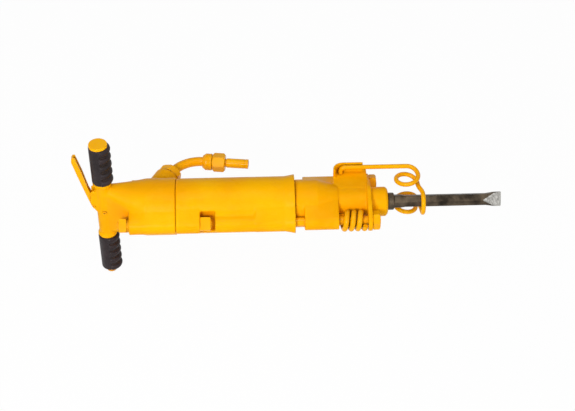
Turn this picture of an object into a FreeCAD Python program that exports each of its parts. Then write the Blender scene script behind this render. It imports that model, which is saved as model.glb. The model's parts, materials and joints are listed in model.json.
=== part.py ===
"""A hand-held pneumatic breaker with its chisel.

Frame: the origin is the middle of the nose face, where the chisel enters. +X runs out along the
chisel, +Z along the handle bar to the upper grip, +Y to the air inlet. Sizes are millimetres.
"""

import FreeCAD, Part
import math
import os

from FreeCAD import Vector

# Lengths along the tool, from the handle bar to the nose face
backhead_length = 164.0
cylinder_length = 271.0
block_length = 99.0
waist_length = 66.0
flange_thickness = 10.0
nose_length = 39.0

# Barrel radii
backhead_radius = 65.0
cylinder_radius = 63.5
flare_radius = 67.5
flare_length = 23.0
block_radius = 55.0
block_front_radius = 40.0
waist_radius = 37.5
flange_hub_radius = 44.0
nose_radius = 34.0
block_taper_length = 47.0
block_bulge = 5.0
nose_chamfer = 5.0
joint_chamfer = 2.0

# Fits and shared allowances
overrun = 1.0
running_fit = 0.05
body_gap = 0.3
seat_gap = 0.3
rod_clearance = 0.3
weld_depth = 4.0

# Handle bar, cast with the backhead
bar_radius = 18.5
bar_bead_radius = 22.0
bar_bead_length = 9.0
bead_round = 3.0
arm_radius = 13.0
upper_bar_length = 82.0
lower_bar_length = 78.0
grip_length = 102.0
grip_radius = 22.5
finger_ridges = 5
ridge_radius = 7.5
ridge_stand = 18.5
first_ridge_share = 0.75
grip_round = 3.0
end_bolt_radius = 6.0
end_bolt_depth = 30.0
cap_radius = 21.0
cap_thickness = 6.0
cap_round = 2.0
washer_radius = 16.0
washer_thickness = 2.5
end_hex_flats = 22.0
end_hex_height = 11.0
oil_plug_radius = 5.0
oil_plug_depth = 6.0
oil_plug_head = 1.0
oil_plug_socket_depth = 2.5

# Web from the handle bar to the barrel
web_start = 6.0
web_middle = 46.0
web_end = 96.0
web_start_half_y = 17.5
web_bar_margin = 11.0
web_middle_half_y = 37.0
web_middle_half_z = 64.0
web_start_corner = 17.0
web_middle_corner = 35.0
barrel_corner = 63.5

# Throttle: lever, pivot and valve
pivot_back = 22.0
pivot_height = 14.0
pivot_pin_radius = 3.0
pin_proud = 1.0
bracket_thickness = 26.0
bracket_height = 60.0
bracket_slot_floor = 14.0
bracket_slot_start = 1.0
lever_length = 141.0
lever_width = 14.0
lever_wall = 2.5
lever_side_gap = 0.5
stem_height = 32.0
stem_radius = 3.5
stem_reach = 30.9
stem_tip_round = 1.5
valve_head_radius = 11.0
valve_head_length = 9.0
valve_seat = 34.0
chamber_radius = 15.0
chamber_port_radius = 8.5
throttle_travel = 3.2
bell_radius = 42.0
bell_length = 66.0
throttle_spring_outer = 9.5
throttle_spring_bore = 7.5
throttle_spring_length = 26.0

# Tie bolts and front rods, one on each side
rod_offset = 63.0
hub_inset = 2.0
lug_radius = 21.0
flare_lug_radius = 25.5
block_lug_radius = 19.5
rear_lug_hub_radius = 38.0
rear_lug_setback = 58.0
rear_lug_on_cylinder = 55.0
pocket_length = 34.0
pocket_half_height = 30.0
pocket_floor = 41.0
rib_radius = 20.5
front_lug_length = 91.0
front_lug_setback = 21.0
tie_bolt_radius = 10.0
tie_bolt_head_clear = 4.0
tie_nut_flats = 30.0
rear_nut_length = 17.0
pocket_nut_length = 24.0
tie_washer_thickness = 5.0
tie_washer_radius = 14.0
tie_nut_round = 2.0
front_rod_radius = 10.5
front_rod_depth = 76.0
front_rod_proud = 1.5
front_nut_flats = 38.0
front_nut_length = 17.0
nut_chamfer = 2.5
flange_lug_radius = 24.0
hex_turn = 12.0

# Rod springs
spring_wire = 6.2
spring_mean_radius = 18.7
spring_turns = 3.5
spring_end_gap = 0.3

# Retainer ears on the front head
ear_back = 8.0
ear_thickness = 12.0
ear_floor = 26.0
ear_near = 8.0
ear_far = 72.0
ear_corner = 22.0
ear_rim_height = 23.0
ear_rim_wall = 5.5
ear_rim_length = 70.0

# Retainer: one bent wire, two legs, two coils and the loop round the chisel
wire_radius = 5.25
leg_offset = 59.0
leg_height = 55.0
pivot_from_block = 10.0
pivot_end_height = 27.0
elbow_radius = 11.0
coil_radius = 25.0
coil_quarters = 5
coil_from_nose = 47.0
loop_radius = 24.0
loop_setback = 6.0
loop_lead = 9.0

# Air inlet
inlet_lean = 27.0
inlet_from_joint = 30.0
inlet_boss_radius = 30.0
inlet_boss_height = 104.0
inlet_boss_round = 14.0
inlet_seat_back = 24.0
inlet_seat_out = 98.4
inlet_nut_flats = 48.0
inlet_nut_height = 22.0
inlet_nut_skirt = 5.0
inlet_nut_lip = 6.0
inlet_lip_radius = 16.0
inlet_cavity_radius = 19.0
inlet_passage_radius = 9.0
gooseneck_radius = 11.0
gooseneck_bore = 8.0
gooseneck_collar_radius = 18.5
gooseneck_collar_length = 8.0
gooseneck_bend_radius = 72.0
gooseneck_turn = 70.0
seal_thickness = 3.0
coupling_taper = 6.0
coupling_rear_length = 22.0
coupling_rear_radius = 20.0
coupling_gap = 1.5
coupling_groove_radius = 17.0
coupling_nut_flats = 39.0
coupling_nut_length = 30.0
coupling_chamfer = 4.0
hose_tail_radius = 11.2
hose_tail_root_radius = 9.5
hose_tail_shoulder = 4.0
hose_tail_bore = 7.5
hose_tail_length = 55.0
hose_tail_groove = 2.0
hose_tail_groove_depth = 0.7
hose_tail_end = 7.0

# Working parts inside the barrel
bore_radius = 30.0
chest_radius = 46.0
chest_length = 40.0
passage_radius = 9.0
passage_circle = 46.5
passage_end_wall = 15.0
passage_step = 30.0
chest_cavity_radius = 28.0
chest_cavity_length = 12.0
chest_port_radius = 12.0
chest_wall = 14.0
valve_plate_radius = 27.6
valve_plate_thickness = 6.0
valve_plate_hole = 8.0
piston_head_length = 60.0
piston_stem_radius = 20.0
piston_stem_length = 68.0
anvil_radius = 24.0
anvil_length = 30.0
anvil_tip_radius = 15.5
anvil_tip_length = 26.0
guide_radius = 44.0
guide_length = 46.0
anvil_chamber_radius = 29.0
anvil_chamber_length = 60.0
bushing_radius = 24.0

# Chisel
shank_flats = 28.6
shank_length = 152.0
shank_clearance = 0.3
collar_radius = 20.0
collar_length = 15.0
collar_round = 3.0
neck_length = 24.0
neck_flats = 29.0
stock_flats = 26.0
stock_length = 190.0
edge_width = 34.0
edge_thickness = 3.0
flare_share = 0.45
point_length = 34.0

# Stations along the tool, worked back from the nose face
x_nose = 0
x_flange_front = x_nose - nose_length
x_flange_back = x_flange_front - flange_thickness
x_block_front = x_flange_back - waist_length
x_front_joint = x_block_front - block_length
x_rear_joint = x_front_joint - cylinder_length
x_bar = x_rear_joint - backhead_length
x_pocket = x_rear_joint + rear_lug_on_cylinder
x_front_lug = x_front_joint - front_lug_length
x_rear_lug = x_bar + rear_lug_setback
x_pivot = x_bar - pivot_back
x_retainer = x_block_front + pivot_from_block
x_anvil_back = x_nose - shank_length - anvil_tip_length - anvil_length

# The lever's side outline: back and height from its pivot, as shares of the lever's length
lever_outline_shares = (
    (0, -0.046), (0.033, -0.033), (0.048, 0), (0.084, 0.128), (0.121, 0.262), (0.221, 0.645),
    (0.287, 0.915), (0.282, 0.972), (0.26, 1), (0.225, 1), (0.144, 0.695), (0.071, 0.348),
    (0.014, 0.184), (-0.039, 0.035), (-0.046, 0), (-0.033, -0.033),
)
# The bracket's side outline: back and height from the bar's axis, as shares of the bracket's height
bracket_outline_shares = (
    (0.083, -0.067), (0.3, 0), (0.425, 0.208), (0.508, 0.433), (0.492, 0.567), (0.458, 0.767),
    (0.467, 0.958), (0.4, 1), (0.083, 1),
)

x_axis = Vector(1, 0, 0)
y_axis = Vector(0, 1, 0)
z_axis = Vector(0, 0, 1)
half = 0.5
near_side = -1
far_side = 1
both_sides = (near_side, far_side)
bottom_end = -1
top_end = 1
both_ends = (bottom_end, top_end)


# Shapes used by several pieces


def rod(radius, start, end):
    """A round bar between two points."""
    along = end - start
    return Part.makeCylinder(radius, along.Length, start, along)


def x_rod(radius, x_start, x_end, y=0, z=0):
    """A round bar along the tool."""
    return Part.makeCylinder(radius, x_end - x_start, Vector(x_start, y, z), x_axis)


def x_cone(radius_start, radius_end, x_start, x_end, y=0, z=0):
    """A taper along the tool."""
    start = Vector(x_start, y, z)
    return Part.makeCone(radius_start, radius_end, x_end - x_start, start, x_axis)


def box_between(low, high):
    """A block given by its lowest and highest corners."""
    size = high - low
    return Part.makeBox(size.x, size.y, size.z, low)


def prism(sides, flats, start, along, turn=0):
    """A bar of 4 or 6 flats from start, along a vector."""
    reach = flats * half / math.cos(math.pi / sides)
    step = 2 * math.pi / sides
    offset = math.radians(turn)
    corners = []
    for index in range(sides + 1):
        angle = offset + step * index
        corners.append(Vector(reach * math.cos(angle), reach * math.sin(angle), 0))
    face = Part.Face(Part.makePolygon(corners))
    bar = face.extrude(z_axis * along.Length)
    bar.Placement = FreeCAD.Placement(start, FreeCAD.Rotation(z_axis, along))
    return bar


def nut(flats, sides, start, along, bore, turn, chamfer):
    """A nut whose outer corners are turned off at both ends."""
    body = prism(sides, flats, start, along, turn)
    corner = flats * half / math.cos(math.pi / sides)
    length = along.Length
    low = Part.makeCone(corner - chamfer, corner - chamfer + length, length, start, along)
    end = start + along
    high = Part.makeCone(corner - chamfer, corner - chamfer + length, length, end, along * -1)
    body = body.common(low).common(high)
    unit = Vector(along).normalize()
    hole = rod(bore, start - unit * overrun, end + unit * overrun)
    return body.cut(hole)


def rounded_outline(x, half_y, half_z, corner, y_mid=0):
    """A closed outline across the tool, with four rounded corners."""
    corner_signs = ((1, 1), (-1, 1), (-1, -1), (1, -1))
    quarter = math.pi / 2
    arcs = []
    for index, (sign_y, sign_z) in enumerate(corner_signs):
        mid_y = y_mid + sign_y * (half_y - corner)
        mid_z = sign_z * (half_z - corner)
        points = []
        for step in (0, half, 1):
            angle = quarter * (index + step)
            y = mid_y + corner * math.cos(angle)
            z = mid_z + corner * math.sin(angle)
            points.append(Vector(x, y, z))
        arcs.append(points)
    edges = []
    for index, points in enumerate(arcs):
        edges.append(Part.Arc(*points).toShape())
        following = arcs[(index + 1) % len(arcs)][0]
        edges.append(Part.makeLine(points[-1], following))
    return Part.Wire(edges)


def hull_outline(x, hub, lug):
    """A round hub drawn out by straight flanks to a smaller round lug on each side."""
    lean = math.acos((hub - lug) / rod_offset)
    edges = []
    for side in both_sides:
        flank = []
        for centre, radius in ((0, hub), (rod_offset, lug)):
            along = side * (centre + radius * math.cos(lean))
            flank.append((along, radius * math.sin(lean)))
        (hub_y, hub_z), (lug_y, lug_z) = flank
        lug_tip = Vector(x, side * (rod_offset + lug), 0)
        edges.append(Part.makeLine(Vector(x, hub_y, hub_z), Vector(x, lug_y, lug_z)))
        edges.append(Part.makeLine(Vector(x, hub_y, -hub_z), Vector(x, lug_y, -lug_z)))
        edges.append(Part.Arc(Vector(x, lug_y, lug_z), lug_tip, Vector(x, lug_y, -lug_z)).toShape())
        crown = Vector(x, 0, side * hub)
        hub_ends = (Vector(x, -hub_y, side * hub_z), Vector(x, hub_y, side * hub_z))
        edges.append(Part.Arc(hub_ends[0], crown, hub_ends[1]).toShape())
    return Part.Wire(Part.__sortEdges__(edges))


def hull_block(x_start, x_end, hub, lug):
    """A length of that section along the tool."""
    return Part.Face(hull_outline(x_start, hub, lug)).extrude(x_axis * (x_end - x_start))


def hull_taper(x_start, x_end, hub_start, hub_end, lug_start, lug_end):
    """The same section, growing or shrinking along the tool."""
    outlines = [hull_outline(x_start, hub_start, lug_start), hull_outline(x_end, hub_end, lug_end)]
    return Part.makeLoft(outlines, True, True)


def fuse(pieces):
    """Join solids into one clean solid."""
    return pieces[0].multiFuse(pieces[1:]).removeSplitter()


def mirrored_z(shape):
    """The same shape on the other side of the tool's middle plane."""
    return shape.mirror(Vector(0, 0, 0), z_axis)


def grouped(shapes):
    """Separate solids kept together as one set."""
    return Part.makeCompound(shapes)


# Round wire along a path of points and directions


def biarc(start, start_dir, end, end_dir):
    """Two arcs that leave start and reach end in the given directions, or one line."""
    chord = end - start
    straight = start_dir.cross(chord).Length + end_dir.cross(chord).Length
    if straight < chord.Length / 10 ** 6:
        return [Part.makeLine(start, end)]
    both = start_dir + end_dir
    bend = 2 * (1 - start_dir.dot(end_dir))
    reach = chord.dot(both)
    if bend < 1 / 10 ** 9:
        handle = chord.dot(chord) / (4 * chord.dot(end_dir))
    else:
        handle = (math.sqrt(reach * reach + bend * chord.dot(chord)) - reach) / bend
    first = start + start_dir * handle
    second = end - end_dir * handle
    joint = (first + second) * half
    return [arc_by_apex(start, first, joint), arc_by_apex(joint, second, end)]


def arc_by_apex(start, apex, end):
    """The arc whose end tangents meet at the apex."""
    middle = (start + end) * half
    rise = apex - middle
    half_chord = (end - start).Length * half
    half_angle = math.atan2(rise.Length, half_chord)
    crown = middle + rise.normalize() * (half_chord * math.tan(half_angle * half))
    return Part.Arc(start, crown, end).toShape()


def path_wire(knots):
    """One smooth wire through knots, each a point and its direction."""
    edges = []
    for (start, start_dir), (end, end_dir) in zip(knots, knots[1:]):
        edges += biarc(start, start_dir, end, end_dir)
    return Part.Wire(edges)


def round_wire(knots, radius):
    """A round bar bent along the knots."""
    start, start_dir = knots[0]
    section = Part.Wire([Part.makeCircle(radius, start, start_dir)])
    bar = path_wire(knots).makePipeShell([section], True, False)
    return bar


def least_gap(knots, radius):
    """The least clear distance from the bent bar to itself, measured on points."""
    wire = path_wire(knots)
    step = radius * half
    count = int(wire.Length / step)
    points = wire.discretize(Number=count)
    apart = int(4 * radius / step) + 1
    least = wire.Length
    for index, point in enumerate(points):
        for other in points[index + apart:]:
            away = point.distanceToPoint(other)
            least = min(least, away)
    return least - 2 * radius


# Handle end: the backhead casting and what it carries


def inlet_direction():
    """The way the inlet's axis points, out of the barrel and towards the nose."""
    lean = math.radians(inlet_lean)
    return Vector(math.sin(lean), math.cos(lean), 0)


inlet_seat = Vector(x_rear_joint - inlet_seat_back, inlet_seat_out, 0)
inlet_rim = inlet_seat + inlet_direction() * inlet_nut_height


def side_outline(shares, x_from, z_from, size):
    """A closed outline in the handle's plane, from shares of one size."""
    points = [Vector(x_from - size * back, 0, z_from + size * up) for back, up in shares]
    return Part.makePolygon(points + points[:1])


def side_plate(shares, x_from, z_from, size, thickness):
    """A plate in the handle's plane, centred on the tool's middle."""
    face = Part.Face(side_outline(shares, x_from, z_from, size))
    plate = face.extrude(y_axis * thickness)
    plate.translate(y_axis * (-thickness * half))
    return plate


def grip_inner(end):
    """Height at which the upper or the lower grip starts on the bar."""
    return upper_bar_length if end == top_end else -lower_bar_length


def grip_outer(end):
    """Height at which that grip stops."""
    return grip_inner(end) + end * grip_length


def handle_bar():
    """The cross bar: a round middle, a bead at each end and the two grip arms."""
    bar_ends = [Vector(x_bar, 0, grip_inner(end)) for end in both_ends]
    pieces = [rod(bar_radius, *bar_ends)]
    for end, bead_end in zip(both_ends, bar_ends):
        bead_start = bead_end - z_axis * (end * bar_bead_length)
        bead = rod(bar_bead_radius, bead_start, bead_end)
        pieces.append(bead.makeFillet(bead_round, bead.Edges[:1] + bead.Edges[2:]))
        arm_end = Vector(x_bar, 0, grip_outer(end) - end * washer_thickness)
        pieces.append(rod(arm_radius, bead_start, arm_end))
    return pieces


def barrel_web():
    """The web that spreads from the handle bar into the round barrel."""
    start_half_z = lower_bar_length - web_bar_margin
    start = rounded_outline(x_bar + web_start, web_start_half_y, start_half_z, web_start_corner)
    middle = rounded_outline(
        x_bar + web_middle, web_middle_half_y, web_middle_half_z, web_middle_corner
    )
    end = rounded_outline(x_bar + web_end, backhead_radius, backhead_radius, barrel_corner)
    web = Part.makeLoft([start, middle, end], True, False)
    barrel = Part.Face(end).extrude(x_axis * (x_rear_joint - x_bar - web_end))
    return [web, barrel]


def inlet_boss():
    """The raised seat of the air inlet: a rounded hump, and the leaning seat beside it."""
    foot = Vector(x_rear_joint - inlet_from_joint, 0, 0)
    hump = rod(inlet_boss_radius, foot, foot + y_axis * inlet_boss_height)
    hump = hump.makeFillet(inlet_boss_round, [hump.Edges[0]])
    root = inlet_seat - inlet_direction() * backhead_radius
    leaning = rod(inlet_boss_radius, root, inlet_seat)
    clear_end = inlet_seat + inlet_direction() * inlet_boss_height
    above = rod(inlet_boss_height, inlet_seat, clear_end)
    boss = hump.fuse(leaning).cut(above)
    behind = box_between(
        Vector(x_rear_joint, -inlet_boss_height, -inlet_boss_height),
        Vector(x_rear_joint + inlet_boss_height, 2 * inlet_boss_height, inlet_boss_height),
    )
    return boss.cut(behind)


def bracket():
    """The raised seat of the throttle lever, behind the bar."""
    return side_plate(bracket_outline_shares, x_bar, 0, bracket_height, bracket_thickness)


def lever_slot():
    """The slot between the bracket's cheeks, in which the lever swings."""
    slot_half = lever_width * half + lever_side_gap
    return box_between(
        Vector(x_bar - bracket_height, -slot_half, bracket_slot_start),
        Vector(x_bar - bracket_slot_floor, slot_half, bracket_height + overrun),
    )


def throttle_passage():
    """The way of the air: from the inlet to the valve's chamber, then into the cylinder's bell."""
    stem_hole = x_rod(
        stem_radius + running_fit, x_bar - bar_radius - overrun, x_bar + valve_seat + overrun, 0, stem_height
    )
    spring_start = x_bar + valve_seat + seat_gap + valve_head_length
    chamber_end = spring_start + throttle_spring_length + throttle_travel + seat_gap
    chamber = x_rod(chamber_radius, x_bar + valve_seat, chamber_end, 0, stem_height)
    bell_start = x_rear_joint - bell_length
    port = x_rod(chamber_port_radius, chamber_end - overrun, bell_start + overrun, 0, stem_height)
    bell = x_rod(bell_radius, bell_start, x_rear_joint + overrun)
    inlet_hole = rod(
        inlet_passage_radius,
        Vector(x_rear_joint - inlet_from_joint, 0, stem_height * half),
        inlet_seat + inlet_direction() * overrun,
    )
    return [stem_hole, chamber, port, bell, inlet_hole]


def backhead():
    """The casting with the cross bar, the bolt lugs, the lever's bracket and the inlet's seat."""
    x_round = x_bar + web_end
    hub = backhead_radius - hub_inset
    pieces = handle_bar() + barrel_web() + [inlet_boss(), bracket()]
    pieces += [
        hull_taper(x_rear_lug, x_round, rear_lug_hub_radius, hub, lug_radius, lug_radius),
        hull_block(x_round, x_rear_joint, hub, lug_radius),
    ]
    casting = fuse(pieces)
    pivot_hole = rod(
        pivot_pin_radius,
        Vector(x_pivot, -bracket_thickness, pivot_height),
        Vector(x_pivot, bracket_thickness, pivot_height),
    )
    plug_hole = rod(
        oil_plug_radius,
        Vector(x_bar, -bar_radius - overrun, 0),
        Vector(x_bar, oil_plug_depth - bar_radius, 0),
    )
    holes = throttle_passage() + [lever_slot(), pivot_hole, plug_hole]
    for end in both_ends:
        arm_tip = Vector(x_bar, 0, grip_outer(end))
        holes.append(rod(end_bolt_radius, arm_tip, arm_tip - z_axis * (end * end_bolt_depth)))
    for side in both_sides:
        bolt_hole = tie_bolt_radius + rod_clearance
        holes.append(x_rod(bolt_hole, x_rear_lug - overrun, x_rear_joint + overrun, side * rod_offset))
    return casting.cut(holes)


def grip(end):
    """A rubber sleeve with finger ridges on its working side."""
    inner_z = grip_inner(end)
    outer_z = grip_outer(end)
    sleeve = rod(grip_radius, Vector(x_bar, 0, inner_z), Vector(x_bar, 0, outer_z))
    sleeve = sleeve.makeFillet(grip_round, [sleeve.Edges[0], sleeve.Edges[2]])
    pieces = [sleeve]
    pitch = grip_length / (finger_ridges + half)
    for index in range(finger_ridges):
        z = inner_z + end * pitch * (index + first_ridge_share)
        ridge = Part.makeTorus(ridge_stand, ridge_radius, Vector(x_bar, 0, z), z_axis)
        front = box_between(
            Vector(x_bar + bar_radius * half, -grip_radius, z - pitch),
            Vector(x_bar + 2 * grip_radius, grip_radius, z + pitch),
        )
        pieces.append(ridge.common(front))
    body = fuse(pieces)
    arm_space = rod(arm_radius, Vector(x_bar, 0, inner_z), Vector(x_bar, 0, outer_z))
    return body.cut(arm_space)


def upper_cap_bolt():
    """The round-headed screw that closes the upper grip."""
    seat = Vector(x_bar, 0, grip_outer(top_end))
    head = rod(cap_radius, seat, seat + z_axis * cap_thickness)
    head = head.makeFillet(cap_round, [head.Edges[0]])
    shank = rod(end_bolt_radius, seat - z_axis * end_bolt_depth, seat)
    spigot = rod(arm_radius, seat - z_axis * washer_thickness, seat)
    return fuse([head, spigot, shank])


def lower_washer():
    """The washer between the lower grip and its bolt."""
    seat = Vector(x_bar, 0, grip_outer(bottom_end))
    plate = rod(washer_radius, seat, seat - z_axis * washer_thickness)
    spigot = rod(arm_radius, seat + z_axis * washer_thickness, seat)
    return fuse([plate, spigot]).cut(
        rod(end_bolt_radius, seat + z_axis * grip_radius, seat - z_axis * grip_radius)
    )


def lower_end_bolt():
    """The hexagon bolt that closes the lower grip."""
    seat = Vector(x_bar, 0, grip_outer(bottom_end) - washer_thickness)
    head = prism(6, end_hex_flats, seat, z_axis * -end_hex_height, hex_turn)
    crown = Part.makeCone(
        end_hex_flats * half + end_hex_height, end_hex_flats * half - cap_round,
        end_hex_height + cap_round, seat, z_axis * -1,
    )
    shank_start = Vector(x_bar, 0, grip_outer(bottom_end) + end_bolt_depth)
    return fuse([head.common(crown), rod(end_bolt_radius, seat, shank_start)])


def oil_plug():
    """The small screw plug in the middle of the bar."""
    floor = Vector(x_bar, oil_plug_depth - bar_radius, 0)
    face = Vector(x_bar, -bar_radius - oil_plug_head, 0)
    socket = prism(6, 2 * oil_plug_socket_depth, face, y_axis * oil_plug_socket_depth)
    return rod(oil_plug_radius, floor, face).cut(socket)


# Throttle


def throttle_lever():
    """A channel lever, open towards the grip, whose foot swings in the bracket's slot."""
    inner_width = lever_width - 2 * lever_wall
    outer = side_plate(lever_outline_shares, x_pivot, pivot_height, lever_length, lever_width)
    inner = side_plate(lever_outline_shares, x_pivot, pivot_height, lever_length, inner_width)
    inner.translate(x_axis * lever_wall)
    low = inner.copy()
    low.translate(z_axis * -lever_wall)
    forward = inner.copy()
    forward.translate(x_axis * (2 * lever_wall))
    channel = outer.cut([inner, low, forward])
    hole = rod(
        pivot_pin_radius + running_fit,
        Vector(x_pivot, -lever_width, pivot_height),
        Vector(x_pivot, lever_width, pivot_height),
    )
    return channel.cut(hole)


def lever_pin():
    """The pin through the bracket's cheeks that the lever turns on."""
    reach = bracket_thickness * half + pin_proud
    ends = [Vector(x_pivot, side * reach, pivot_height) for side in both_sides]
    return rod(pivot_pin_radius, *ends)


def throttle_valve():
    """The stem that the lever pushes, with its poppet in the air chamber."""
    tip = x_bar - stem_reach
    seat = x_bar + valve_seat + seat_gap
    stem = x_rod(stem_radius, tip, seat + valve_head_length * half, 0, stem_height)
    stem = stem.makeFillet(stem_tip_round, [stem.Edges[2]])
    poppet = x_cone(
        valve_head_radius - valve_head_length * half, valve_head_radius,
        seat, seat + valve_head_length * half, 0, stem_height,
    )
    back = x_rod(
        valve_head_radius, seat + valve_head_length * half, seat + valve_head_length, 0, stem_height
    )
    return fuse([stem, poppet, back])


def throttle_spring():
    """The return spring behind the poppet, as its plain sleeve."""
    start = x_bar + valve_seat + seat_gap + valve_head_length
    end = start + throttle_spring_length
    sleeve = x_rod(throttle_spring_outer, start, end, 0, stem_height)
    return sleeve.cut(x_rod(throttle_spring_bore, start, end, 0, stem_height))


# Air inlet


def inlet_nut():
    """The gland nut that holds the gooseneck's collar on the boss."""
    along = inlet_direction() * (inlet_nut_height - inlet_nut_skirt)
    skirt_top = inlet_seat + inlet_direction() * inlet_nut_skirt
    flats = nut(inlet_nut_flats, 6, skirt_top, along, inlet_lip_radius, hex_turn, nut_chamfer)
    skirt = rod(inlet_nut_flats * half, inlet_seat, skirt_top)
    cavity_end = inlet_rim - inlet_direction() * inlet_nut_lip
    cavity = rod(inlet_cavity_radius, inlet_seat, cavity_end)
    return fuse([flats, skirt]).cut(cavity)


def inlet_seal():
    """The fibre ring between the boss and the gooseneck's collar."""
    top = inlet_seat + inlet_direction() * seal_thickness
    ring = rod(inlet_cavity_radius, inlet_seat, top)
    return ring.cut(rod(inlet_passage_radius, inlet_seat, top))


def gooseneck_path():
    """The pipe's middle line: out of the nut, then round towards the nose."""
    out = inlet_direction()
    start_angle = math.radians(90 - inlet_lean)
    end_angle = start_angle - math.radians(gooseneck_turn)
    collar = inlet_seat + out * (seal_thickness + body_gap)
    knots = [(collar, out), (inlet_rim, out)]
    steps = 2
    for index in range(1, steps + 1):
        angle = start_angle + (end_angle - start_angle) * index / steps
        rise_x = math.sin(start_angle) - math.sin(angle)
        rise_y = math.cos(angle) - math.cos(start_angle)
        point = inlet_rim + Vector(rise_x, rise_y, 0) * gooseneck_bend_radius
        knots.append((point, Vector(math.cos(angle), math.sin(angle), 0)))
    return knots


def inlet_pipe():
    """The bent swivel pipe, with the collar that the nut holds."""
    knots = gooseneck_path()
    pipe = round_wire(knots, gooseneck_radius)
    start, out = knots[0]
    collar = rod(gooseneck_collar_radius, start, start + out * gooseneck_collar_length)
    return fuse([pipe, collar]).cut(round_wire(knots, gooseneck_bore))


def pipe_station(distance):
    """A point past the bend's end, on the pipe's last direction."""
    end, along = gooseneck_path()[-1]
    return end + along * distance


def coupling_body():
    """The knurled half of the hose coupling."""
    along = gooseneck_path()[-1][1]
    start = pipe_station(0)
    taper = Part.makeCone(
        gooseneck_radius + gooseneck_bore * half, coupling_rear_radius, coupling_taper, start, along
    )
    drum = rod(coupling_rear_radius, pipe_station(coupling_taper), pipe_station(coupling_rear_length))
    neck = rod(
        coupling_groove_radius,
        pipe_station(coupling_rear_length),
        pipe_station(coupling_rear_length + coupling_gap),
    )
    bore = rod(gooseneck_bore, start, pipe_station(coupling_rear_length + coupling_gap))
    return fuse([taper, drum, neck]).cut(bore)


def coupling_nut():
    """The hexagon half of the hose coupling."""
    start = pipe_station(coupling_rear_length + coupling_gap)
    along = gooseneck_path()[-1][1] * coupling_nut_length
    return nut(coupling_nut_flats, 6, start, along, hose_tail_root_radius, hex_turn, coupling_chamfer)


def hose_tail():
    """The plain tail that the air hose is clamped on."""
    inner = coupling_rear_length + coupling_gap
    shoulder = inner + coupling_nut_length + hose_tail_shoulder
    outer = inner + coupling_nut_length + hose_tail_length
    root = rod(hose_tail_root_radius, pipe_station(inner), pipe_station(shoulder))
    tail = rod(hose_tail_radius, pipe_station(shoulder), pipe_station(outer))
    groove_end = outer - hose_tail_end
    groove_start = groove_end - hose_tail_groove
    ring = rod(hose_tail_radius + overrun, pipe_station(groove_start), pipe_station(groove_end))
    core = rod(
        hose_tail_radius - hose_tail_groove_depth, pipe_station(groove_start), pipe_station(groove_end)
    )
    bore = rod(hose_tail_bore, pipe_station(inner), pipe_station(outer))
    return fuse([root, tail]).cut(ring.cut(core)).cut(bore)


# Cylinder and what works in it


def cylinder():
    """The barrel casting: bolt lugs at its rear, open pockets, ribs and the flared front lugs."""
    flare_start = x_front_joint - flare_length
    hub = cylinder_radius - hub_inset
    flare_hub = flare_radius - hub_inset
    pieces = [
        x_rod(cylinder_radius, x_rear_joint, x_front_joint),
        x_cone(cylinder_radius, flare_radius, flare_start, x_front_joint),
        hull_block(x_rear_joint, x_pocket, hub, lug_radius),
        hull_block(x_front_lug, flare_start, hub, lug_radius),
        hull_taper(flare_start, x_front_joint, hub, flare_hub, lug_radius, flare_lug_radius),
    ]
    rib_start = x_pocket + pocket_length
    for side in both_sides:
        pieces.append(x_rod(rib_radius, rib_start, x_front_lug + overrun, side * rod_offset))
    casting = fuse(pieces)
    cuts = [
        x_rod(bore_radius, x_rear_joint - overrun, x_front_joint + overrun),
        x_rod(chest_radius, x_rear_joint - overrun, x_rear_joint + chest_length),
    ]
    for side in both_sides:
        cuts += side_cuts(side)
    return casting.cut(cuts)


def side_cuts(side):
    """On one side: the pocket, the bolt hole, the rod's blind hole and three air passages."""
    pocket_ends = [side * pocket_floor, side * (rod_offset + 2 * lug_radius)]
    pocket = box_between(
        Vector(x_pocket, min(pocket_ends), -pocket_half_height),
        Vector(x_pocket + pocket_length, max(pocket_ends), pocket_half_height),
    )
    y_rod = side * rod_offset
    bolt_hole = x_rod(tie_bolt_radius + rod_clearance, x_rear_joint - overrun, x_pocket + overrun, y_rod)
    blind = x_front_joint - front_rod_depth
    rod_hole = x_rod(front_rod_radius, blind, x_front_joint + overrun, y_rod)
    cuts = [pocket, bolt_hole, rod_hole]
    for index in (-1, 0, 1):
        angle = math.radians(side * 90 + index * passage_step)
        y = passage_circle * math.cos(angle)
        z = passage_circle * math.sin(angle)
        passage_end = x_front_joint - passage_end_wall
        cuts.append(x_rod(passage_radius, x_rear_joint + chest_wall, passage_end, y, z))
    return cuts


def valve_chest():
    """The block at the top of the bore, with the room for the valve plate."""
    start = x_rear_joint
    end = start + chest_length - seat_gap
    block = x_rod(chest_radius - seat_gap, start, end)
    cavity = x_rod(chest_cavity_radius, start + chest_wall, start + chest_wall + chest_cavity_length)
    port = x_rod(chest_port_radius, start - overrun, end + overrun)
    return block.cut([cavity, port])


def valve_plate():
    start = x_rear_joint + chest_wall + body_gap
    end = start + valve_plate_thickness
    disc = x_rod(valve_plate_radius, start, end)
    return disc.cut(x_rod(valve_plate_hole, start - overrun, end + overrun))


def piston():
    front = x_anvil_back - seat_gap
    stem_start = front - piston_stem_length
    head_start = stem_start - piston_head_length
    head = x_rod(bore_radius - running_fit, head_start, stem_start)
    head = head.makeChamfer(joint_chamfer, [head.Edges[0], head.Edges[2]])
    stem = x_rod(piston_stem_radius, stem_start - joint_chamfer, front)
    return fuse([head, stem])


def anvil():
    """The block that passes each blow from the piston to the chisel."""
    shoulder = x_anvil_back + anvil_length
    body = x_rod(anvil_radius, x_anvil_back, shoulder)
    tip = x_rod(anvil_tip_radius, shoulder, shoulder + anvil_tip_length)
    return fuse([body, tip])


def anvil_guide():
    start = x_front_joint + seat_gap
    end = x_front_joint + guide_length
    ring = x_rod(guide_radius, start, end)
    return ring.cut(x_rod(anvil_radius + running_fit, start - overrun, end + overrun))


# Bolts, rods, nuts and springs on both sides


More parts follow.
